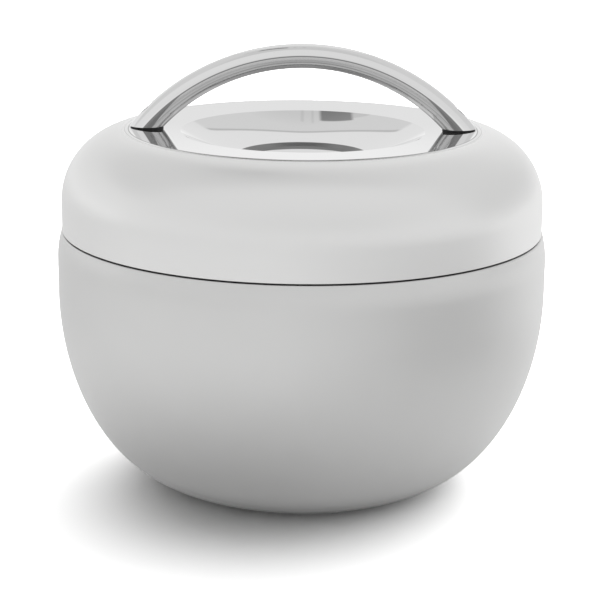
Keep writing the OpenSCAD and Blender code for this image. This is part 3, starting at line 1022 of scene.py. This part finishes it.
sky = Sky(world.node_tree)
window_foot, window_rise, window_half_width = 0.52, 0.258, 0.235
window_roundness = 2.4
above = (sky.up - window_foot).largest(0.0) / window_rise
beside_middle = sky.x / window_half_width
window = beside_middle.power(window_roundness) + above.power(window_roundness)
behind = sky.y.step(-0.05, 0.05)
low_wall = 1 - sky.up.step(0.45, 0.49)
sweep = (1 - window.step(0.95, 1.03)).largest(low_wall)
frame_line = (1 - low_wall) * window.step(0.95, 1.03) * (1 - window.step(1.1, 1.18))
roof_level, wall_level, front_level = 0.70, 0.82, 0.87
grey_roof = roof_level - 0.06 * sky.up.step(0.84, 0.92) - 0.18 * frame_line
white_wall = wall_level + 0.12 * (1 - sky.up.step(0.05, 0.2))
white_wall = white_wall - 0.12 * sky.x.step(0.2, 0.6) + 0.06 * (-1 * sky.x).step(0.5, 0.9)
rear = grey_roof + (white_wall - grey_roof) * sweep

across, along = sky.x / sky.height, sky.y / sky.height
lean = along + 0.6 * across
ceiling = sky.up.step(0.5, 0.6)
opening = across.between(-0.26, -0.09) * lean.between(0.31, 0.5)
beside = across.between(-0.36, -0.26) * lean.between(0.31, 0.46)
seams = across.between(-0.056, -0.044, 0.004) + across.between(-0.004, 0.012, 0.004)
seams = seams * lean.between(0.3, 0.56)
rear = rear - ceiling * (0.42 * opening + 0.1 * beside + 0.07 * seams)

room = sky.up.between(0.31, 0.5, 0.05) * (-1 * sky.y).step(0.6, 0.85)
upper = sky.up.step(0.05, 0.5)
front = front_level - 0.06 * upper - 0.03 * upper * sky.x.step(-0.5, 0.5) - 0.05 * room
reflected = front + (rear - front) * behind
seen = sky.node("ShaderNodeLightPath", output="Is Camera Ray")
shiny = sky.node("ShaderNodeLightPath", output="Is Glossy Ray")
back_right, softness, fill, strength = (0.35, 0.68, 0.64), 2, 0.03, 3.0
soft_light = fill + strength * sky.lobe(back_right, softness)
light = seen + (1 - seen) * (shiny * reflected + (1 - shiny) * soft_light)
backdrop = sky.node(
    "ShaderNodeBackground", None, {"Color": (1, 1, 1, 1), "Strength": light}, output="Background"
)
output = world.node_tree.nodes.new("ShaderNodeOutputWorld")
world.node_tree.links.new(backdrop.socket, output.inputs["Surface"])

# %% [markdown]
# ## The floor
#
# The camera sees a white sheet that keeps the bowl's shadow. The light that reaches it is weaker
# than white, so its colour for the camera is above 1. Steel sees the same sheet as a grey that
# falls off to the right, as the underside of the bowl shows it, with a little glow of its own
# that fades close to the base, where the bowl's own shadow lies.

# %% Floor
floor_half = 3.0
floor_mesh = bpy.data.meshes.new("floor")
corners = [(-floor_half, -floor_half, 0), (floor_half, -floor_half, 0),
           (floor_half, floor_half, 0), (-floor_half, floor_half, 0)]
floor_mesh.from_pydata(corners, [], [(0, 1, 2, 3)])
floor = linked("floor", floor_mesh)
camera_paper, steel_glow = grey(2.0), grey(0.32)
paper = Finish("floor_paper", grey(0.97), roughness=0.9)
paper.set("Roughness", 0.85 + paper.noise(3, 2.0) * 0.1)
x, y, z = paper.xyz()
black, white = grey(0.0), grey(1.0)
away = paper.axis_distance()
far = away.step(0.25, 0.6)
left_tone, far_tone, rear_tone = 0.58, 0.43, 0.42
tone = left_tone - 0.44 * x.step(-0.05, 0.3)
tone = tone + (far_tone - tone) * far
tone = tone + (rear_tone + 0.14 * x.step(-0.1, 0.1) - tone) * y.step(-0.1, 0.15)
sheet = paper.mix(tone, black, white)
in_view = paper.node("ShaderNodeLightPath", output="Is Camera Ray")
in_steel = paper.node("ShaderNodeLightPath", output="Is Glossy Ray")
returned = paper.node("ShaderNodeLightPath", output="Diffuse Depth").step(0.0, 1.0)
paper.set("Base Color", paper.mix(in_view, sheet, camera_paper))
glow = in_steel * (1 - 0.85 * returned) * (0.1 + 0.9 * away.step(0.044, 0.06))
paper.set("Emission Color", paper.mix(glow, black, steel_glow))
paper.set("Emission Strength", 1.0)
floor_mesh.materials.append(paper.material)

# %% [markdown]
# ## The camera
#
# The seam, the ridge and the two outlines fix the camera: it stands 630 mm in front of the axis
# and 229 mm above the table, looks 15 degrees down, and is rolled by half a degree.

# %% Camera
image_width = 600
focal_pixels = 1898.7
centre_pixels = 301.26
camera_distance = 629.9 * mm
camera_height = 229.3 * mm
camera_pitch = 14.975
camera_roll = 0.55
camera_data = bpy.data.cameras.new("camera")
camera_data.sensor_width = 36
camera_data.lens = camera_data.sensor_width * focal_pixels / image_width
camera_data.shift_x = -(centre_pixels - image_width / 2) / image_width
camera = bpy.data.objects.new("camera", camera_data)
turn = Matrix.Rotation(math.radians(90 - camera_pitch), 4, "X")
turn = turn @ Matrix.Rotation(math.radians(camera_roll), 4, "Z")
camera.matrix_world = Matrix.Translation((0, -camera_distance, camera_height)) @ turn
bpy.context.scene.collection.objects.link(camera)
bpy.context.scene.camera = camera
bpy.context.scene.view_settings.view_transform = "Standard"
